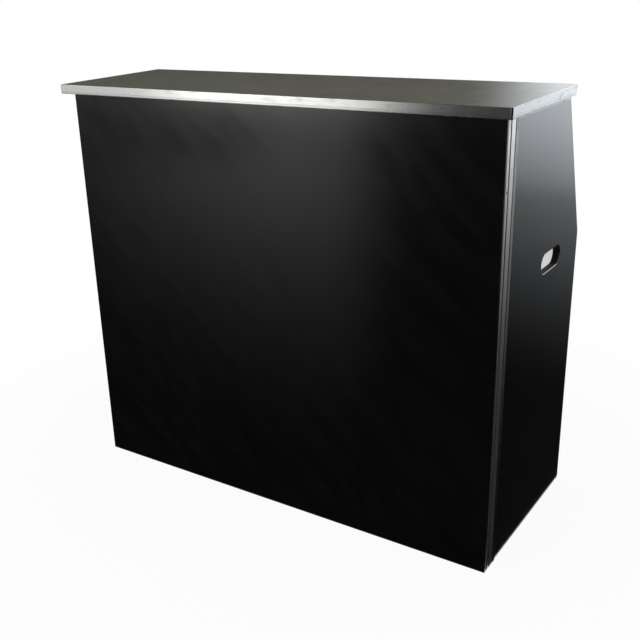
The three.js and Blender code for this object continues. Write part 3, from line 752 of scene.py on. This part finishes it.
# edge bands: the slope's and the rear edge's outlines carried through the board's thickness
bandOutlines = {
    "side_slope_band": [(267.5, 695.0), (134.5, 1043.7), (132.359, 1043.7), (265.5, 694.632)],
    "side_rear_band": [(265.5, 3.0), (267.5, 3.0), (267.5, 694.5), (265.5, 694.132)],
}
ledgeSize = {
    "outline": [(545.2, 561.5), (567.7, 561.5), (567.7, 544.0), (570.2, 544.0), (570.2, 564.0), (545.2, 564.0)],
    "round": (0.6, 1.2, 0.6, 0.3, 0.3, 1.0), "rear": 192.5, "length": 180.0,
}


def edgeBand(outline):
    start, length = sidePanelSize["faces"][0] * mm, (sidePanelSize["faces"][1] - sidePanelSize["faces"][0]) * mm
    return carryOutline(roundCorners(np.array(outline) * mm, 0.5 * mm), axisX * start, axisZ, axisX, length, ease=0.4 * mm)


def shelfLedge(size):
    outline = roundCorners(np.array(size["outline"]) * mm, np.array(size["round"]) * mm)
    return carryOutline(outline, axisY * size["rear"] * mm, axisZ, -axisY, size["length"] * mm)


for hand in ("left", "right"):
    made = {
        "hinge_stile": ("aluminium_trim", hingeStile("right_hinge_stile", stileSize)),
        "side_panel": ("black_laminate", sidePanel(sidePanelSize)),
        "shelf_ledge": ("aluminium_trim", shelfLedge(ledgeSize)),
        **{band: ("edge_band", edgeBand(outline)) for band, outline in bandOutlines.items()},
    }
    for part, (slot, shell) in made.items():
        strip = rolledStrip if slot == "aluminium_trim" else None
        makePiece(f"{hand}_{part}_eased", forHand(hand, [shell]), slot, [f"{hand}_{part}"], material=strip)
print("side panels, stiles, bands and ledges made")


# hinges: sheet rolled round a pin at every second knuckle, flat between
hingeSheet = {"outer": 4.0, "bore": 2.6, "near": 4.7, "gap": 0.5, "rollEnd": 376.0, "pin": 2.1}
sideHinge = {"axis": (564.7, -191.75), "foot": 6.0, "length": 1031.7, "reach": 14.45, "knuckles": 27, "screws": 14}
shelfHinge = {
    "axis": (-194.8, 560.0), "length": 70.0, "reach": 30.0, "knuckles": 5,
    "middles": {"left": -450.0, "middle": 0.0, "right": 450.0}, "screws": ((-24.0, 21.0), (0.0, 14.0), (24.0, 21.0)),
}


def hingeLeaf(origin, leafOut, toward, size, first):
    # the rolled outline runs in along the sheet's outer face, round the pin to rollEnd and back along its inner face
    outer, bore, near, gap = (hingeSheet[key] * mm for key in ("outer", "bore", "near", "gap"))
    reach, pitch, length = size["reach"] * mm, size["length"] * mm / size["knuckles"], size["length"] * mm
    turn = np.radians(np.linspace(90, hingeSheet["rollEnd"], 30))
    ring = np.stack([np.cos(turn), np.sin(turn)], -1)
    rolled = np.concatenate([[(reach, outer)], ring * outer, ring[::-1] * bore, [(reach, bore)]])
    sheet = np.array([(near, bore), (reach, bore), (reach, outer), (near, outer)])
    along = np.cross(leafOut, toward)
    shells = []
    for knuckle in range(size["knuckles"]):
        own = knuckle % 2 == first
        line, draw = (rolled, gap / 2) if own else (sheet, -gap / 2)
        low = max(0.0, knuckle * pitch + draw)
        high = min(length, (knuckle + 1) * pitch - draw)
        outline = (line, np.zeros_like(line), np.zeros(len(line)))
        shells.append(carryOutline(outline, origin + along * low, toward, along, high - low))
    return shells


def hingePin(origin, axis, length):
    radius, chamfer = hingeSheet["pin"] * mm, 0.4 * mm
    line = [(radius - chamfer, 0), (radius, chamfer), (radius, length - chamfer), (radius - chamfer, length)]
    return turnOutline(line, origin, axis, 20)


# screws: a domed head whose rise falls with the square of the radius, with a cross pressed in along both arms
headRings = np.array([1.0, 1.0, 0.93, 0.8, 0.62, 0.44, 0.26, 0.1])
screwTurns = np.random.default_rng(11)


def screwHead(place, outward, radius, height, skirt=0.2 * mm, sides=24):
    outward = np.asarray(outward, float)
    side = np.roll(outward, 1)
    angle = np.linspace(0, 2 * np.pi, sides, endpoint=False)
    x, y = headRings[:, None] * np.cos(angle), headRings[:, None] * np.sin(angle)
    arms = np.clip((0.22 - np.minimum(np.abs(x), np.abs(y))) / 0.1, 0, 1) * np.clip((0.7 - headRings[:, None]) / 0.1, 0, 1)
    rise = height * (1 - 0.7 * headRings[:, None] ** 2 - 0.5 * arms)
    rise[0] = -skirt
    turn = screwTurns.uniform(0, np.pi / 2)
    first = np.cos(turn) * side + np.sin(turn) * np.cross(outward, side)
    second = np.cross(outward, first)
    placed = place + radius * (x[..., None] * first + y[..., None] * second) + rise[..., None] * outward
    edge = np.array([0, 1, 0.6, 0, 0, 0, 0, 0])[:, None]
    return gridShell(placed, edge, angle * radius, np.cumsum(headRings[::-1]) * radius)


def screwRow(places, outward, radius, height):
    return [screwHead(np.array(place) * mm, outward, radius * mm, height * mm) for place in places]


sideAxis = np.array([*sideHinge["axis"], sideHinge["foot"]]) * mm
sideTop = sideAxis + axisZ * sideHinge["length"] * mm
leafMiddle = (sideHinge["reach"] + hingeSheet["near"]) / 2
screwHeights = sideHinge["foot"] + sideHinge["length"] * (np.arange(sideHinge["screws"]) + 0.5) / sideHinge["screws"]
leafFace = sideHinge["axis"][0] + hingeSheet["bore"]
fixedScrews = [(leafFace, sideHinge["axis"][1] - leafMiddle, z) for z in screwHeights]
movingScrews = [(leafFace, sideHinge["axis"][1] + leafMiddle, z) for z in screwHeights]
ledgeScrews = [(567.7, y, 551.0) for y in (32.5, 102.5, 172.5)]
channelScrews = [(569.0, y, 1037.0) for y in (-150.0, -30.0, 90.0)]
stripScrews = [(590.0, -223.5, z) for z in (895.0, 368.0)]  # small dark heads in the end strips
for hand in ("left", "right"):
    fixed, moving = hand + "_side_hinge_fixed_leaf", hand + "_side_hinge_moving_leaf"
    makePiece(fixed + "_rolled", forHand(hand, hingeLeaf(sideAxis, -axisY, axisX, sideHinge, 0)), "steel", [fixed])
    makePiece(moving + "_rolled", forHand(hand, hingeLeaf(sideTop, axisY, axisX, sideHinge, 1)), "steel", [moving])
    pin = hand + "_side_hinge_pin"
    makePiece(pin + "_turned", forHand(hand, [hingePin(sideAxis, axisZ, sideHinge["length"] * mm)]), "steel", [pin])
    makePiece(hand + "_stile_screws", forHand(hand, screwRow(fixedScrews, -axisX, 3.1, 1.2)), "steel", body="front",
              material=darkScrew)
    heads = screwRow(movingScrews, -axisX, 3.1, 1.2) + screwRow(ledgeScrews + channelScrews, -axisX, 3.4, 1.3)
    makePiece(hand + "_side_screws", forHand(hand, heads), "steel", body=hand + "_side", material=darkScrew)
    makePiece(hand + "_strip_screws", forHand(hand, screwRow(stripScrews, axisX, 2.5, 0.7)), "steel", body="front",
              material=darkScrew)

hingeBlock = {
    "outline": [(-219.2, 519.0), (-209.1, 519.0), (-199.1, 529.0), (-199.1, 564.0), (-219.2, 564.0)],
    "width": 84.0, "round": 2.0, "ease": 1.5,
}
shelfY, shelfZ = shelfHinge["axis"]
for spot, middle in shelfHinge["middles"].items():
    halfRun = shelfHinge["length"] / 2
    low, high = (np.array([middle + side, shelfY, shelfZ]) * mm for side in (-halfRun, halfRun))
    names = [f"shelf_hinge_{part}_{spot}" for part in ("fixed_leaf", "moving_leaf", "pin", "block")]
    makePiece(names[0] + "_rolled", hingeLeaf(high, -axisZ, -axisY, shelfHinge, 0), "steel", names[:1])
    makePiece(names[1] + "_rolled", hingeLeaf(low, axisZ, -axisY, shelfHinge, 1), "steel", names[1:2])
    makePiece(names[2] + "_turned", [hingePin(low, axisX, shelfHinge["length"] * mm)], "steel", names[2:3])
    outline = roundCorners(np.array(hingeBlock["outline"]) * mm, hingeBlock["round"] * mm)
    block = carryOutline(outline, axisX * (middle - hingeBlock["width"] / 2) * mm, axisZ, axisX,
                         hingeBlock["width"] * mm, ease=hingeBlock["ease"] * mm)
    makePiece(names[3] + "_eased", [block], "nylon", names[3:])
    for part, side, body in (("fixed", -1, "front"), ("moving", 1, "shelf")):
        places = [(middle + x, shelfY - hingeSheet["bore"], shelfZ + side * out) for x, out in shelfHinge["screws"]]
        makePiece(f"shelf_hinge_{part}_screws_{spot}", screwRow(places, axisY, 3.4, 1.3), "steel", body=body,
                  material=darkScrew)
print("hinges rolled and screwed down")

# turn buttons with their screws, rubber buffers, dowels, and the screws under the counter's edge
turnButton = {
    "pivot": (60.0, -198.2, 981.0), "gap": 35.0, "radius": 9.0, "thickness": 5.0, "ease": 1.0,
    "ridge": ((93.0, -193.5, 977.0), (97.0, -189.5, 985.0)), "ridgeEase": 1.2,
    "screwSeat": (60.0, -192.9, 981.0), "screwRadius": 6.0, "screwRise": 2.5,
}
shelfBuffer = {
    "foot": (380.0, -219.2, 900.0),
    "line": [(6.6, 0), (7.0, 0.5), (6.8, 1.6), (6.2, 3.2), (5.7, 4.1), (4.8, 4.65), (3.0, 4.8)],
}
counterDowel = {
    "foot": (480.0, -228.5, 1025.2),
    "line": [(3.3, 0), (4.0, 0.7), (4.0, 30.6), (3.8, 31.5), (3.3, 32.5), (2.5, 33.4), (1.4, 33.9), (0.5, 34.0)],
}
lipScrews = [(x, y, 1044.0) for y in (-261.2, 106.2) for x in (-520.0, -260.0, 0.0, 260.0, 520.0)]


def buttonShells(size):
    outline = stadium(size["gap"] * mm, size["radius"] * mm)
    bar = carryOutline(outline, np.array(size["pivot"]) * mm, axisX, axisY, size["thickness"] * mm, ease=size["ease"] * mm)
    low, high = np.array(size["ridge"]) * mm
    return [bar, easedBlock(low, high, size["ridgeEase"] * mm)]


for hand in ("left", "right"):
    button, screw = hand + "_turn_button", hand + "_catch_screw"
    makePiece(button + "_eased", forHand(hand, buttonShells(turnButton)), "steel", [button])
    head = screwHead(np.array(turnButton["screwSeat"]) * mm, axisY, turnButton["screwRadius"] * mm,
                     turnButton["screwRise"] * mm, 0.0, 32)
    makePiece(screw + "_turned", forHand(hand, [head]), "steel", [screw])
    for node, slot, size, axis in (
        (hand + "_shelf_buffer", "rubber", shelfBuffer, axisY), (hand + "_dowel", "steel", counterDowel, axisZ),
    ):
        shell = turnOutline(np.array(size["line"]) * mm, np.array(size["foot"]) * mm, axis, 32)
        makePiece(node + "_turned", forHand(hand, [shell]), slot, [node])
makePiece("counter_lip_screws", screwRow(lipScrews, -axisZ, 3.0, 0.9), "steel", body="counter")
print("catches, buffers, dowels and counter screws made")

# the frame's own nodes that stay in view
keptNodes = {"counter_board": finishes["counter_laminate"], "front_top_strip": rolledStrip}
for node, material in keptNodes.items():
    nodes[node].data.materials.clear()
    nodes[node].data.materials.append(material)
print("kept nodes finished:", len(keptNodes))

# studio: a white floor, soft boxes, and toned cards that only the satin faces and the metal mirror;
# each ramp runs smoothly between two places: along x, y or z, or round the pivot as sideways over away
floorLook = {
    "colour": (0.90, 0.90, 0.895), "reach": 150.0, "glow": (0.93, 1.0), "fadeFrom": 0.7, "fadeTo": 1.7,
    "pivot": (1.2478, -1.944),  # no glow behind the bar, where the floor is plainly lit
    "ramps": (("round", -0.297, -0.316), ("round", -1.07, -0.9), ("x", 0.588, 0.572), ("y", -0.236, -0.222), ("y", 3.6, 2.6)),
    "inside": (("x", -0.588, -0.572), ("x", 0.588, 0.572), ("y", -0.236, -0.222), ("y", 0.3, 0.2)),
}
worldLook = {"ambient": 0.42}
softBoxes = {
    "frontLeftBox": {"place": (-2.28, -3.65, 1.62), "aim": (0.0, -0.25, 1.42), "size": (1.46, 2.1), "radiance": 2.85,
                     "colour": (1.0, 0.99, 0.965)},
    "topBox": {"place": (0.3, -0.6, 3.6), "aim": (0.0, 0.0, 0.6), "size": (3.0, 3.0), "radiance": 1.6,
               "colour": (1.0, 1.0, 1.0), "mirrored": False},
}
mirroredCards = {
    "backCard": {
        "corners": ((-0.98, 3.5, 0.0), (2.92, 3.5, 0.0), (2.92, 3.5, 2.47), (-0.98, 3.5, 2.47)),
        "tones": (0.26, 2.6), "ramps": (("z", -0.35, 0.85), ("x", -0.98, -0.42)), "colour": (0.89, 0.945, 1.0),
    },
    "frontFloorCard": {
        "corners": ((-7.0, -0.2385, 0.001), (5.0, -0.2385, 0.001), (5.0, -6.5, 0.001), (-7.0, -6.5, 0.001)),
        "tones": (0.018, 0.83), "pivot": (1.25, 1.47),
        "ramps": (("y", -0.4, -4.7), ("round", 0.53, 0.62), ("round", 1.26, 0.66)),
    },
    "rightFloorCard": {
        "corners": ((0.591, -0.2385, 0.001), (4.0, -0.2385, 0.001), (4.0, 3.5, 0.001), (0.591, 3.5, 0.001)),
        "tones": (0.012, 0.53), "ramps": (("y", 0.72, 4.2),), "colour": (0.92, 0.96, 1.0),
    },
    "frontCard": {
        "corners": ((-2.15, -4.4, 0.0), (-0.4, -4.4, 0.0), (-0.4, -4.4, 7.0), (-2.15, -4.4, 7.0)),
        "tones": (0.010, 0.095), "ramps": (("z", 0.3, 0.8),),
    },
    "frontRightCard": {
        "corners": ((-0.4, -4.4, 0.0), (5.0, -4.4, 0.0), (5.0, -4.4, 7.0), (-0.4, -4.4, 7.0)), "tones": (0.6, 0.6),
    },
    "frontLeftCard": {
        "corners": ((-2.9, -4.2, 0.0), (-7.5, -0.6, 0.0), (-7.5, -0.6, 4.8), (-2.9, -4.2, 4.8)),
        "tones": (0.16, 2.6), "ramps": (("z", 0.6, 1.1),),
    },
    "topCard": {"corners": ((-3.0, -4.4, 3.5), (4.0, -4.4, 3.5), (4.0, 2.2, 3.5), (-3.0, 2.2, 3.5)), "tones": (0.04, 0.04)},
    "rightCard": {"corners": ((5.0, -4.4, 0.0), (5.0, -1.0, 0.0), (5.0, -1.0, 6.0), (5.0, -4.4, 6.0)), "tones": (0.3, 0.3)},
    "backLeftCard": {"corners": ((-7.0, 3.0, 0.0), (-0.9, 3.6, 0.0), (-0.9, 3.6, 5.0), (-7.0, 3.0, 5.0)), "tones": (0.03, 0.03)},
}


def offCamera(tree):
    # one for rays that show the background: from the camera, off gloss and through glass
    path = tree.nodes.new("ShaderNodeLightPath").outputs
    seen = maths(tree, "ADD", path["Is Camera Ray"], path["Is Glossy Ray"])
    return maths(tree, "ADD", seen, path["Is Transmission Ray"], True)


def flatMesh(name, corners):
    mesh = bpy.data.meshes.new(name)
    mesh.from_pydata([list(corner) for corner in corners], [], [[0, 1, 2, 3]])
    made = bpy.data.objects.new(name, mesh)
    scene.collection.objects.link(made)
    return made


def rampShare(tree, coords, look, ramps="ramps"):
    parts = tree.nodes.new("ShaderNodeSeparateXYZ")
    feed(tree, coords["Object"], parts.inputs[0])
    x, y, z = parts.outputs
    pivotX, pivotY = look.get("pivot", (0, 0))
    turned = maths(tree, "DIVIDE", maths(tree, "SUBTRACT", x, pivotX), maths(tree, "SUBTRACT", y, pivotY))
    ways, share = {"x": x, "y": y, "z": z, "round": turned}, 1.0
    for way, first, last in look.get(ramps, ()):
        share = times(tree, spread(tree, ways[way], first, last, 0.0, 1.0, True), share)
    return share


def makeFloor(look):
    far = look["reach"]
    floor = flatMesh("floor", ((-far, -far, 0), (far, -far, 0), (far, far, 0), (-far, far, 0)))
    material, tree, shader, coords, _ = newMaterial("paleFloor", Roughness=0.8)
    feed(tree, rgba(look["colour"]), shader["Base Color"])
    radius = tree.nodes.new("ShaderNodeVectorMath")
    radius.operation = "LENGTH"
    feed(tree, coords["Object"], radius.inputs[0])
    away = spread(tree, radius.outputs["Value"], look["fadeFrom"], look["fadeTo"], *look["glow"], True)
    plain = maths(tree, "MAXIMUM", rampShare(tree, coords, look), rampShare(tree, coords, look, "inside"))
    away = times(tree, away, maths(tree, "SUBTRACT", 1.0, plain))
    glow = tree.nodes.new("ShaderNodeEmission")
    join = tree.nodes.new("ShaderNodeMixShader")
    feed(tree, maths(tree, "MULTIPLY", offCamera(tree), away), join.inputs[0])
    feed(tree, tree.nodes["Principled BSDF"].outputs[0], join.inputs[1])
    feed(tree, glow.outputs[0], join.inputs[2])
    feed(tree, join.outputs[0], tree.nodes["Material Output"].inputs["Surface"])
    floor.data.materials.append(material)


def makeWorld(look):
    world = bpy.data.worlds.new("studio")
    world.use_nodes = True
    scene.world = world
    tree = world.node_tree
    light = spread(tree, offCamera(tree), 0.0, 1.0, look["ambient"], 1.0)
    feed(tree, light, tree.nodes["Background"].inputs["Strength"])
    tree.nodes["Background"].inputs["Color"].default_value = (1, 1, 1, 1)


def makeSoftBox(name, look):
    lamp = bpy.data.lights.new(name, "AREA")
    lamp.shape, lamp.color = "RECTANGLE", look["colour"]
    lamp.size, lamp.size_y = look["size"]
    lamp.energy = 4 * look["size"][0] * look["size"][1] * look["radiance"]
    made = bpy.data.objects.new(name, lamp)
    scene.collection.objects.link(made)
    aim = Vector(look["aim"]) - Vector(look["place"])
    made.matrix_world = Matrix.Translation(look["place"]) @ aim.to_track_quat("-Z", "Y").to_matrix().to_4x4()
    made.visible_camera = False
    made.visible_glossy = look.get("mirrored", True)


def makeCard(name, look):
    card = flatMesh(name, look["corners"])
    material, tree, _, coords, _ = newMaterial(name)
    glow = tree.nodes.new("ShaderNodeEmission")
    glow.inputs["Color"].default_value = rgba(look.get("colour", (1, 1, 1)))
    feed(tree, spread(tree, rampShare(tree, coords, look), 0.0, 1.0, *look["tones"]), glow.inputs["Strength"])
    feed(tree, glow.outputs[0], tree.nodes["Material Output"].inputs["Surface"])
    card.data.materials.append(material)
    card.visible_camera = card.visible_diffuse = card.visible_shadow = False
    card.visible_transmission = card.visible_volume_scatter = False


makeFloor(floorLook)
makeWorld(worldLook)
for name, look in softBoxes.items():
    makeSoftBox(name, look)
for name, look in mirroredCards.items():
    makeCard(name, look)
scene.view_settings.view_transform = "Standard"
print("studio lit")
